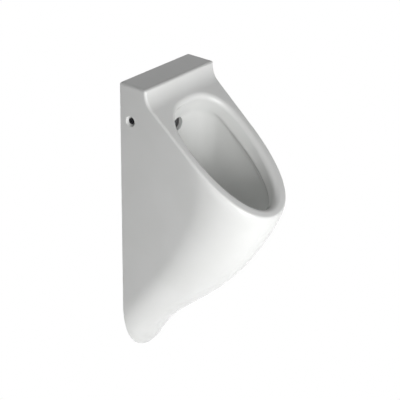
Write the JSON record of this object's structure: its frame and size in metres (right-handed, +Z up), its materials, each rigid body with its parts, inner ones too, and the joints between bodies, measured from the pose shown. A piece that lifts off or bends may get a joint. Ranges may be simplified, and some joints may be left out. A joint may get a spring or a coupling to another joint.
{
  "type": "wall hung urinal",
  "caption": "White ceramic wall hung urinal with a flat top ledge, sloping oval rim, deep bowl, rear water inlet and tapering tail that hides the trap.",
  "frame": {"origin": "on the wall plane, midway between the two hanging studs", "axes": "+Z up, +Y into the wall, -Y towards the user, +X to the right as the user faces the urinal"},
  "size_m": [0.213, 0.3404, 0.6436],
  "materials": {
    "glaze": "gloss white glaze",
    "chrome_flange": "polished chrome",
    "seal_rubber": "matt black rubber",
    "white_plastic": "moulded white plastic",
    "trap_plastic": "moulded white polypropylene",
    "insert_plastic": "dark grey moulded plastic",
    "o_ring_rubber": "black rubber",
    "chrome_dome": "polished chrome",
    "pipe_grey": "grey waste pipe plastic",
    "sleeve_rubber": "matt black rubber",
    "brass_nipple": "machined brass",
    "fibre_washer": "red-brown fibre rubber",
    "chrome_tube": "polished chrome",
    "brass_nut": "machined brass",
    "inlet_rubber": "matt black rubber",
    "spreader_plastic": "black plastic",
    "zinc_steel": "zinc plated steel",
    "stud_steel": "zinc plated steel",
    "washer_steel": "zinc plated steel",
    "nut_steel": "zinc plated steel",
    "bush_nylon": "black nylon",
    "screw_steel": "stainless steel"
  },
  "bodies": {
    "fixed": {"ceramic_body": "glaze", "outlet_flange": "chrome_flange", "upper_seal": "seal_rubber", "lower_seal": "seal_rubber", "clamp_nut": "white_plastic", "slip_nut": "white_plastic", "cone_seal": "seal_rubber", "trap_cup": "trap_plastic", "wall_socket": "pipe_grey", "waste_sleeve": "sleeve_rubber", "supply_nipple": "brass_nipple", "supply_washer": "fibre_washer", "inlet_tube": "chrome_tube", "union_nut": "brass_nut", "inlet_sleeve": "inlet_rubber", "spreader": "spreader_plastic", "bracket_left": "zinc_steel", "bracket_right": "zinc_steel", "hanger_studs": "stud_steel", "hanger_washers": "washer_steel", "hanger_nuts": "nut_steel", "side_bushes": "bush_nylon", "side_screws": "screw_steel", "captive_nuts": "nut_steel"},
    "insert": {"dip_tube": "insert_plastic", "dip_o_ring": "o_ring_rubber"},
    "strainer": {"dome_strainer": "chrome_dome"}
  },
  "joints": [
    {"name": "insert_lift", "type": "slide", "parent": "fixed", "child": "insert", "axis": [0, 0, 1], "range_m": [0, 0.13]},
    {"name": "strainer_lift", "type": "slide", "parent": "insert", "child": "strainer", "axis": [0, 0, 1], "range_m": [0, 0.08]}
  ]
}
